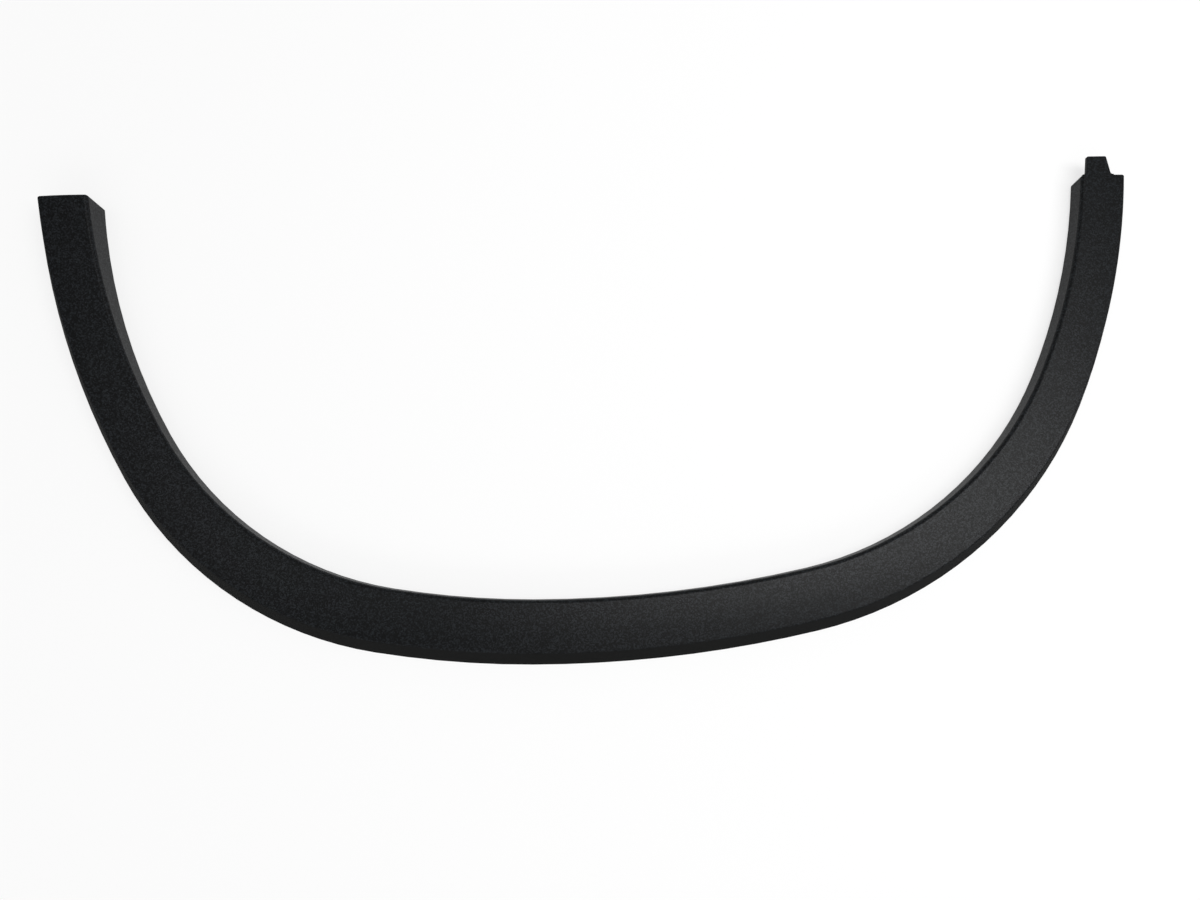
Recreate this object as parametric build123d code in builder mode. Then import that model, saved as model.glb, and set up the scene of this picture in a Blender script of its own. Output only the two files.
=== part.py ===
from build123d import *
import os
from math import asin, atan2, cos, degrees, radians, tan

# Wheel arch trim: one moulding that frames the opening of a vehicle's wheel arch.
# It lies on its back with its face up. X runs along the vehicle, +Y runs down the two legs of the arch
# and +Z points away from the body. Lengths are millimetres and angles are degrees.
# The deep leg is the one whose flange deepens towards its end, and the tab leg carries a locating tab.

# Crown, the middle stretch of the arch, at its inner edge's lowest point
crown_x = -47.6
crown_y = -163.1
crown_width = 53.0

# Deep side: a crown arc, a corner arc and a leg arc, each tangent to the one before.
# A radius is the inner edge's, and a spread is how much larger the outer rim's radius is.
deep_crown_radius = 730.0
deep_crown_spread = 91.0
deep_crown_turn = 9.0
deep_corner_radius = 266.0
deep_corner_spread = 33.0
deep_corner_turn = 50.0
deep_leg_radius = 500.0
deep_leg_spread = 158.0
deep_leg_turn = 22.52
deep_end_tilt = 3.3
deep_end_lean = 3.0

# Tab side
tab_crown_radius = 1005.0
tab_crown_spread = 42.0
tab_crown_turn = 13.0
tab_corner_radius = 291.0
tab_corner_spread = 48.0
tab_corner_turn = 52.5
tab_leg_radius = 510.0
tab_leg_spread = 57.0
tab_leg_turn = 20.63
tab_end_tilt = 1.8
tab_end_lean = 7.0

# Section: an upright flange inside, a crowned face, and a rim wall that leans in towards the face.
# The rim rests on the body, and the flange stops short of it except at the deep end.
# The height and the depth are taken at the crest of the face, which climbs along the deep leg.
wall = 2.8
face_height = 22.8
face_crown_radius = 300.0
crest_setback = 21.0
flange_depth = 18.8
deep_end_rise = 7.2
rim_draft = 26.0
flange_round = 3.0
crease_round = 1.5
end_corner_round = 2.0

# Locating tab: a tongue on the end wall, set a little below the face
tab_offset = -9.4
tab_root_width = 22.0
tab_tip_width = 16.8
tab_tip_offset = -9.8
tab_length = 16.1
tab_thickness = 2.5
tab_step = 0.8
tab_root_round = 2.5
tab_tip_round = 1.5

# Clip houses behind the face: each takes the head of a push-in clip through a keyhole slot.
# None stands closer to an end than the margin.
clip_pitch = 146.0
clip_margin = 40.0
house_width = 19.0
house_length = 20.0
house_wall = 1.8
seat_height = 3.0
seat_thickness = 2.2
keyhole_radius = 4.0
keyhole_neck = 5.6

# Gussets between the flange and the face, two to each clip
gusset_thickness = 1.6
gusset_reach = 14.0
gusset_setback = 2.0

# Working sizes that only have to reach past the trim
leg_overrun = 30.0
reach = deep_crown_radius
sky_reach = 1.5 * crown_width
block_height = 2 * (face_height + deep_end_rise)

flange_lift = face_height - flange_depth
gusset_foot = flange_lift + gusset_setback
crest_swing = (deep_leg_radius + crest_setback) * (1 - cos(radians(deep_leg_turn)))
deep_climb = degrees(asin(deep_end_rise / crest_swing))

# Each stretch of a side: its turn, its radius, its spread, and how far its arc is tilted to climb
deep_side = [
    (deep_crown_turn, deep_crown_radius, deep_crown_spread, 0),
    (deep_corner_turn, deep_corner_radius, deep_corner_spread, 0),
    (deep_leg_turn, deep_leg_radius, deep_leg_spread, deep_climb),
]
tab_side = [
    (tab_crown_turn, tab_crown_radius, tab_crown_spread, 0),
    (tab_corner_turn, tab_corner_radius, tab_corner_spread, 0),
    (tab_leg_turn, tab_leg_radius, tab_leg_spread, 0),
]
sides = [(1, tab_side), (-1, deep_side)]


def arch_arcs(direction, side, across, grow=0.0, overrun=0.0):
    """Tangent arcs from the crown along one side: across is 0 at the inner edge and 1 at the outer rim.

    Every radius is enlarged by grow, and the leg runs on past its end by overrun."""
    arcs = []
    point = Vector(crown_x, crown_y - across * crown_width - grow)
    heading = Vector(direction, 0)
    for turn, radius, spread, _ in side:
        if len(arcs) == len(side) - 1:
            turn += overrun
        arc = JernArc(point, heading, radius + across * spread + grow, direction * turn)
        point, heading = arc @ 1, arc % 1
        arcs.append(arc)
    return arcs


def arch_outline(across, grow):
    """Both sides of one edge, past their ends and closed across the legs."""
    tips = [arch_arcs(direction, side, across, grow, leg_overrun)[-1] @ 1 for direction, side in sides]
    Line(*tips)


def station(direction, side, across, distance):
    """Place and heading of an edge at this distance from the crown along the middle of the trim."""
    for middle, arc in zip(arch_arcs(direction, side, 0.5), arch_arcs(direction, side, across)):
        if distance <= middle.length:
            break
        distance -= middle.length
    share = distance / middle.length
    return arc @ share, arc % share


def section_plane(point, outwards):
    """Upright plane across the trim, with its first axis outwards and its second axis up."""
    return Plane(point, x_dir=outwards, z_dir=outwards.cross(Vector(0, 0, 1)))


def sky_over(inset):
    """All that lies above the crowned face, with the face drawn in by inset."""
    stretches = []
    for direction, side in sides:
        arcs = arch_arcs(direction, side, 0, overrun=leg_overrun)
        for arc, (_, _, _, climb) in zip(arcs, side):
            outwards = (arc @ 0 - arc.arc_center).normalized()
            up = Vector(0, 0, 1) + outwards * tan(radians(climb))
            turn = degrees(arc.length / arc.radius)
            stretches.append((section_plane(arc @ 0, outwards), Axis(arc.arc_center, up * direction), turn))
    with BuildPart() as sky:
        for section, axis, turn in stretches:
            with BuildSketch(section):
                with BuildLine():
                    Polyline(
                        (-sky_reach, 0),
                        (-sky_reach, block_height),
                        (sky_reach, block_height),
                        (sky_reach, 0),
                        close=True,
                    )
                make_face()
                with Locations((crest_setback, face_height - face_crown_radius)):
                    Circle(face_crown_radius - inset, mode=Mode.SUBTRACT)
            revolve(axis=axis, revolution_arc=turn)
    return sky.part


# Where the middle of each end stands, and how the end leans and is turned
deep_end = arch_arcs(-1, deep_side, 0.5)[-1] @ 1 + Vector(0, 0, face_height + deep_end_rise)
tab_end = arch_arcs(1, tab_side, 0.5)[-1] @ 1 + Vector(0, 0, face_height)
ends = [(deep_end, deep_end_lean, deep_end_tilt), (tab_end, tab_end_lean, tab_end_tilt)]


def arch_form(inset):
    """The arch as a solid block, with its walls, ends and face drawn in by inset."""
    with BuildPart() as form:
        # Everything inside the outer rim, with the rim wall leaning in
        with BuildSketch():
            with BuildLine():
                arch_outline(1, -inset / cos(radians(rim_draft)))
            make_face()
        extrude(amount=block_height, taper=rim_draft)
        # Ends
        for point, lean, tilt in ends:
            with Locations(Location(point - Vector(0, inset), (-lean, 0, tilt))):
                Box(2 * reach, reach, reach, align=(Align.CENTER, Align.MIN, Align.CENTER), mode=Mode.SUBTRACT)
        # Face
        add(sky_over(inset), mode=Mode.SUBTRACT)
        # Wheel opening
        with BuildSketch():
            with BuildLine():
                arch_outline(0, inset)
            make_face()
        extrude(amount=block_height, mode=Mode.SUBTRACT)
    return form.part


def upright(face):
    return abs(face.normal_at().Z) < 0.01


def top_edges(walls):
    """Edges of these walls that border the face of the trim."""
    return [edge for edge in walls.edges() if edge.center().Z > face_height - flange_round]


# Where the clips and gussets stand
clip_places = []
gusset_planes = []
for direction, side in sides:
    length = sum(arc.length for arc in arch_arcs(direction, side, 0.5))
    clips = int((length - clip_margin) / clip_pitch + 0.5)
    for number in range(clips):
        point, heading = station(direction, side, 0.5, (number + 0.5) * clip_pitch)
        clip_places.append(Location(point, (0, 0, degrees(atan2(heading.Y, heading.X)))))
    for number in range(2 * clips):
        point, heading = station(direction, side, 0, (number + 0.5) * clip_pitch / 2)
        outwards = Vector(heading.Y, -heading.X) * direction
        gusset_planes.append(section_plane(point, outwards))

# The hollow behind the face, with slots for all that stands in it
with BuildPart() as hollow:
    add(arch_form(wall))
    # Three walls of each clip house
    with BuildSketch(Plane.XY.offset(seat_height)):
        with Locations(*clip_places):
            Rectangle(house_length, house_width)
        with Locations(*clip_places):
            with Locations((house_wall, 0)):
                Rectangle(house_length, house_width - 2 * house_wall, mode=Mode.SUBTRACT)
    extrude(amount=block_height, mode=Mode.SUBTRACT)
    # Seat of each clip house
    with BuildSketch(Plane.XY.offset(seat_height)):
        with Locations(*clip_places):
            Rectangle(house_length, house_width)
        with Locations(*clip_places):
            Circle(keyhole_radius, mode=Mode.SUBTRACT)
            Rectangle(house_length, keyhole_neck, align=(Align.MIN, Align.CENTER), mode=Mode.SUBTRACT)
    extrude(amount=seat_thickness, mode=Mode.SUBTRACT)
    # Gussets, from the flange up to the face
    for plane in gusset_planes:
        with BuildSketch(plane):
            with BuildLine():
                Polyline(
                    (0, gusset_foot),
                    (wall, gusset_foot),
                    (wall + gusset_reach, face_height - wall),
                    (wall + gusset_reach, block_height),
                    (0, block_height),
                    close=True,
                )
            make_face()
        extrude(amount=gusset_thickness / 2, both=True, mode=Mode.SUBTRACT)

# What the flange lacks below its edge, running out along the deep leg
leg_start = arch_arcs(-1, deep_side, 0)[-1] @ 0
with BuildPart() as flange_relief:
    with BuildSketch():
        with BuildLine():
            arch_outline(0, 2 * wall)
        make_face()
        with BuildLine():
            arch_outline(0, 0)
        make_face(mode=Mode.SUBTRACT)
    extrude(amount=flange_lift)
    with BuildSketch(Plane.YZ):
        with BuildLine():
            Polyline((leg_start.Y, flange_lift), (deep_end.Y, 0), (reach, 0), (reach, flange_lift), close=True)
        make_face()
    extrude(amount=-reach, mode=Mode.SUBTRACT)

with BuildPart() as arch_trim:
    add(arch_form(0))
    # Rounded flange edge, a tighter crease along the rim, and the corners where the rim meets the ends
    flange_walls = arch_trim.faces().filter_by(GeomType.CYLINDER).filter_by(upright)
    fillet(top_edges(flange_walls), flange_round)
    rim_walls = arch_trim.faces().filter_by(GeomType.CONE)
    fillet(top_edges(rim_walls), crease_round)
    rim_walls = arch_trim.faces().filter_by(GeomType.CONE)
    end_walls = arch_trim.faces().filter_by(GeomType.PLANE).sort_by(Axis.Y)[-2:]
    fillet([edge for edge in rim_walls.edges() if edge in end_walls.edges()], end_corner_round)
    # Hollow back and the flange's edge
    add(hollow.part, mode=Mode.SUBTRACT)
    add(flange_relief.part, mode=Mode.SUBTRACT)
    # Locating tab
    end_along = Vector(1, 0).rotate(Axis.Z, tab_end_tilt)
    tab_floor = tab_end - Vector(0, 0, tab_step + tab_thickness)
    with BuildSketch(Plane(tab_floor, x_dir=end_along)) as tab_outline:
        with BuildLine():
            half_root = tab_root_width / 2
            half_tip = tab_tip_width / 2
            Polyline(
                (tab_offset - half_root - tab_root_round, -wall / 2),
                (tab_offset - half_root - tab_root_round, 0),
                (tab_offset - half_root, 0),
                (tab_tip_offset - half_tip, tab_length),
                (tab_tip_offset + half_tip, tab_length),
                (tab_offset + half_root, 0),
                (tab_offset + half_root + tab_root_round, 0),
                (tab_offset + half_root + tab_root_round, -wall / 2),
                close=True,
            )
        make_face()
        fillet(tab_outline.vertices().group_by(Axis.Y)[-1], tab_tip_round)
        fillet(tab_outline.vertices().group_by(Axis.Y)[1].sort_by(Axis.X)[1:3], tab_root_round)
    extrude(amount=tab_thickness)
arch_trim.part.label = "arch_trim"

os.makedirs("parts", exist_ok=True)
export_step(arch_trim.part, "parts/arch_trim.step")
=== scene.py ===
import math
import bpy
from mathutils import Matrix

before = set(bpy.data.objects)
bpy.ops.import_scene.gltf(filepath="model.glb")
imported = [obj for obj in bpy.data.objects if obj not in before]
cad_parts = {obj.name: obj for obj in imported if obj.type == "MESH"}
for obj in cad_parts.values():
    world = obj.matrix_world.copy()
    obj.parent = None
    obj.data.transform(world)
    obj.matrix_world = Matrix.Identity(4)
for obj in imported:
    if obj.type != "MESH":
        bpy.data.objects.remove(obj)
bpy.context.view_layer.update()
scene = bpy.context.scene
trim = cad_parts["arch_trim"]
mmPerMetre = 1000
print("frame loaded, trim has", len(trim.data.polygons), "faces")


# sRGB hex to linear light
def linear(hexColour):
    channels = [int(hexColour[start:start + 2], 16) / 255 for start in (1, 3, 5)]
    return [c / 12.92 if c <= 0.04045 else ((c + 0.055) / 1.055) ** 2.4 for c in channels] + [1.0]


# A setting goes to the socket of that name or number, or else to the node itself
def addNode(tree, kind, settings=None, links=None):
    node = tree.nodes.new(kind)
    for name, value in (settings or {}).items():
        if isinstance(name, int) or name in node.inputs:
            node.inputs[name].default_value = value
        else:
            setattr(node, name, value)
    for name, socket in (links or {}).items():
        tree.links.new(socket, node.inputs[name])
    return node


def place(name, data):
    thing = bpy.data.objects.new(name, data)
    scene.collection.objects.link(thing)
    return thing


# Polypropylene with carbon black, moulded against a spark-eroded tool: a dull black that only shows
# a broad soft sheen, broken up by a fine even grain
grainedPp = dict(
    black="#020304",              # the deeper pits of the grain
    bloom="#1d2023",              # its hazier tops
    haze=(0.4, 1.0),              # heights at which the haze begins and is full
    paintedRimShade="#060707",           # painted shade: the leaning rim wall is drawn darker, as if in shade
    ior=1.49,
    specularLevel=0.125,          # the grain shades most of its own gloss
    roughness=(0.40, 0.31),       # in the pits and on the rubbed tops
    # Walls along the draw drag on the tool as the trim is pushed out, and come out duller, most of
    # all the leaning rim; it begins and is full at these upward parts of the normal
    flange=dict(start=0.985, full=0.90, dull=0.12),
    # On the rim the same mask also mixes a darker colour into the grain, as painted shade
    rim=dict(start=0.93, full=0.6, dull=0.69),
    archCentre=(0.0, 0.12, 0.0),  # metres
    rimSide=0.05,                 # metres outward at which a wall counts as the rim's
    grainMm=0.95,                 # about 0.4 mm on the tool, drawn coarser so that it shows
    grainDepthMm=0.06,
    grainStrength=0.6,
)


def makeGrainedPp(look):
    material = bpy.data.materials.new("grainedBlackPolypropylene")
    material.use_nodes = True
    tree = material.node_tree
    tree.nodes.clear()
    spot = addNode(tree, "ShaderNodeTexCoord").outputs["Object"]
    pebbles = addNode(
        tree, "ShaderNodeTexVoronoi",
        {"Scale": mmPerMetre / look["grainMm"]},
        {"Vector": spot},
    )
    pebble = addNode(tree, "ShaderNodeSeparateColor", links={"Color": pebbles.outputs["Color"]})
    height = pebble.outputs["Red"]
    tint = addNode(tree, "ShaderNodeValToRGB", links={"Fac": height})
    for stop, position, shade in zip(tint.color_ramp.elements, look["haze"], ("black", "bloom")):
        stop.position = position
        stop.color = linear(look[shade])
    gloss = addNode(
        tree, "ShaderNodeMapRange",
        {"To Min": look["roughness"][0], "To Max": look["roughness"][1]},
        {"Value": height},
    )
    relief = addNode(
        tree, "ShaderNodeBump",
        {"Strength": look["grainStrength"], "Distance": look["grainDepthMm"] / mmPerMetre,
         "invert": True},
        {"Height": pebbles.outputs["Distance"]},
    )

    # A wall faces sideways; the rim's faces away from the arch's middle, the flange's towards it
    normal = addNode(tree, "ShaderNodeNewGeometry").outputs["Normal"]
    upward = addNode(tree, "ShaderNodeSeparateXYZ", links={"Vector": normal})
    fromMiddle = addNode(
        tree, "ShaderNodeVectorMath",
        {"operation": "SUBTRACT", 1: look["archCentre"]},
        {0: spot},
    )
    outward = addNode(
        tree, "ShaderNodeVectorMath",
        {"operation": "DOT_PRODUCT"},
        {0: normal, 1: fromMiddle.outputs["Vector"]},
    )
    rimShare = addNode(
        tree, "ShaderNodeMapRange",
        {"From Max": look["rimSide"]},
        {"Value": outward.outputs["Value"]},
    )
    side = {}
    for name in look["flange"]:
        either = addNode(
            tree, "ShaderNodeMapRange",
            {"To Min": look["flange"][name], "To Max": look["rim"][name]},
            {"Value": rimShare.outputs["Result"]},
        )
        side[name] = either.outputs["Result"]
    wall = addNode(
        tree, "ShaderNodeMapRange",
        links={"Value": upward.outputs["Z"], "From Min": side["start"], "From Max": side["full"]},
    )
    roughness = addNode(
        tree, "ShaderNodeMath",
        {"operation": "MULTIPLY_ADD", "use_clamp": True},
        {0: wall.outputs["Result"], 1: side["dull"], 2: gloss.outputs["Result"]},
    )
    # Painted shade: on the leaning rim wall the grain colour is mixed towards a darker one,
    # standing in for shade
    paintedRimShadeShare = addNode(
        tree, "ShaderNodeMath",
        {"operation": "MULTIPLY"},
        {0: wall.outputs["Result"], 1: rimShare.outputs["Result"]},
    )
    # The colours of a mix are its inputs 6 and 7 and its output 2
    colour = addNode(
        tree, "ShaderNodeMix",
        {"data_type": "RGBA", 7: linear(look["paintedRimShade"])},
        {0: paintedRimShadeShare.outputs["Value"], 6: tint.outputs["Color"]},
    )
    shader = addNode(
        tree, "ShaderNodeBsdfPrincipled",
        {"IOR": look["ior"], "Specular IOR Level": look["specularLevel"],
         "Base Color": linear(look["black"]), "Roughness": look["roughness"][0]},
        {"Base Color": colour.outputs[2], "Roughness": roughness.outputs["Value"],
         "Normal": relief.outputs["Normal"]},
    )
    addNode(tree, "ShaderNodeOutputMaterial", links={"Surface": shader.outputs["BSDF"]})
    return material


trim.data.materials.clear()
trim.data.materials.append(makeGrainedPp(grainedPp))
print("trim finished in grained black polypropylene")


# One for what the camera, a mirror or glass looks at, nothing for light on its way to a surface
def seenDirectly(tree):
    rays = addNode(tree, "ShaderNodeLightPath")
    seen = rays.outputs["Is Camera Ray"]
    for kind in ("Is Glossy Ray", "Is Transmission Ray"):
        either = addNode(
            tree, "ShaderNodeMath",
            {"operation": "MAXIMUM"},
            {0: seen, 1: rays.outputs[kind]},
        )
        seen = either.outputs["Value"]
    return seen


# White paper, matt and far larger than the view; it is seen mostly as plain white near the trim,
# where a faint shadow stays, and wholly so further out
paper = dict(
    side=60.0,
    white="#f2f2f2",
    plain="#ffffff",
    plainShare=(0.72, 1.0),       # near the trim and further out
    plainFrom=(0.45, 1.6),        # metres from the middle over which that share grows
)


def makeWhitePaper(look):
    material = bpy.data.materials.new("whitePaper")
    material.use_nodes = True
    tree = material.node_tree
    tree.nodes.clear()
    matt = addNode(tree, "ShaderNodeBsdfDiffuse", {"Color": linear(look["white"])})
    plain = addNode(tree, "ShaderNodeEmission", {"Color": linear(look["plain"])})
    spot = addNode(tree, "ShaderNodeTexCoord").outputs["Object"]
    away = addNode(tree, "ShaderNodeVectorMath", {"operation": "LENGTH"}, {0: spot})
    farShare = addNode(
        tree, "ShaderNodeMapRange",
        {"From Min": look["plainFrom"][0], "From Max": look["plainFrom"][1],
         "To Min": look["plainShare"][0], "To Max": look["plainShare"][1]},
        {"Value": away.outputs["Value"]},
    )
    share = addNode(
        tree, "ShaderNodeMath",
        {"operation": "MULTIPLY"},
        {0: seenDirectly(tree), 1: farShare.outputs["Result"]},
    )
    both = addNode(
        tree, "ShaderNodeMixShader",
        links={0: share.outputs["Value"], 1: matt.outputs["BSDF"], 2: plain.outputs["Emission"]},
    )
    addNode(tree, "ShaderNodeOutputMaterial", links={"Surface": both.outputs["Shader"]})
    return material


half = paper["side"] / 2
corners = [(-half, -half, 0), (half, -half, 0), (half, half, 0), (-half, half, 0)]
sheet = bpy.data.meshes.new("paperFloor")
sheet.from_pydata(corners, [], [range(len(corners))])
sheet.materials.append(makeWhitePaper(paper))
place("paperFloor", sheet)
print("paper floor laid")

# One long strip light, high up and well over to the side with the tab, weak fill boards near the
# crown and out beyond both legs, and a wide panel tipped in from beyond the crown for the views
# from behind, in a pale room with a dim ceiling
studio = dict(
    # Places and sizes in metres, turns in degrees
    lamps=dict(
        stripLight=dict(place=(0.93, 0.1, 2.02), size=(2.0, 0.7), turn=(0, 0, -16.3), watts=35.0),
        crownBoard=dict(place=(0.2, -0.35, 2.02), size=(0.7, 0.7), turn=(0, 0, 0), watts=2.0),
        tabLegBoard=dict(place=(1.5, 0.6, 2.02), size=(0.7, 0.7), turn=(0, 0, 0), watts=1.3),
        deepLegBoard=dict(place=(-1.05, -0.03, 2.02), size=(0.8, 0.8), turn=(0, 0, 0), watts=3.3),
        lowPanel=dict(place=(0.0, -2.6, 1.8), size=(4.0, 1.0), turn=(55, 0, 0), watts=20.0),
    ),
    white="#ffffff",
    ceiling=0.35,
    wallTop=(0.15, 0.45),         # rise of the view at which the walls turn into the ceiling
)
for name, lamp in studio["lamps"].items():
    light = bpy.data.lights.new(name, "AREA")
    light.shape = "RECTANGLE"
    light.size, light.size_y = lamp["size"]
    light.energy = lamp["watts"]
    hung = place(name, light)
    hung.location = lamp["place"]
    hung.rotation_euler = [math.radians(angle) for angle in lamp["turn"]]

# The walls look white, but light the trim no more than the ceiling does
room = bpy.data.worlds.new("room")
scene.world = room
room.use_nodes = True
roomTree = room.node_tree
roomTree.nodes.clear()
direction = addNode(roomTree, "ShaderNodeTexCoord").outputs["Generated"]
rise = addNode(roomTree, "ShaderNodeSeparateXYZ", links={"Vector": direction})
wallLevel = addNode(
    roomTree, "ShaderNodeMapRange",
    {"To Min": studio["ceiling"]},
    {"Value": seenDirectly(roomTree)},
)
level = addNode(
    roomTree, "ShaderNodeMapRange",
    {"From Min": studio["wallTop"][0], "From Max": studio["wallTop"][1],
     "To Max": studio["ceiling"]},
    {"Value": rise.outputs["Z"], "To Min": wallLevel.outputs["Result"]},
)
around = addNode(
    roomTree, "ShaderNodeBackground",
    {"Color": linear(studio["white"])},
    {"Strength": level.outputs["Result"]},
)
addNode(roomTree, "ShaderNodeOutputWorld", links={"Surface": around.outputs["Background"]})
print("studio lit")

# Camera over the wheel opening near the crown, tipped a little towards the ends of the legs;
# place in metres, tilt in degrees, lens and sensor in millimetres
view = dict(place=(-0.0178, -0.1311, 0.780), tilt=(6.722, -1.828, 0.0), lens=28.0, sensor=36.0)
overhead = bpy.data.cameras.new("overhead")
overhead.lens = view["lens"]
overhead.sensor_width = view["sensor"]
camera = place("overhead", overhead)
camera.location = view["place"]
camera.rotation_euler = [math.radians(angle) for angle in view["tilt"]]
scene.camera = camera
scene.view_settings.view_transform = "Standard"
print("camera set")
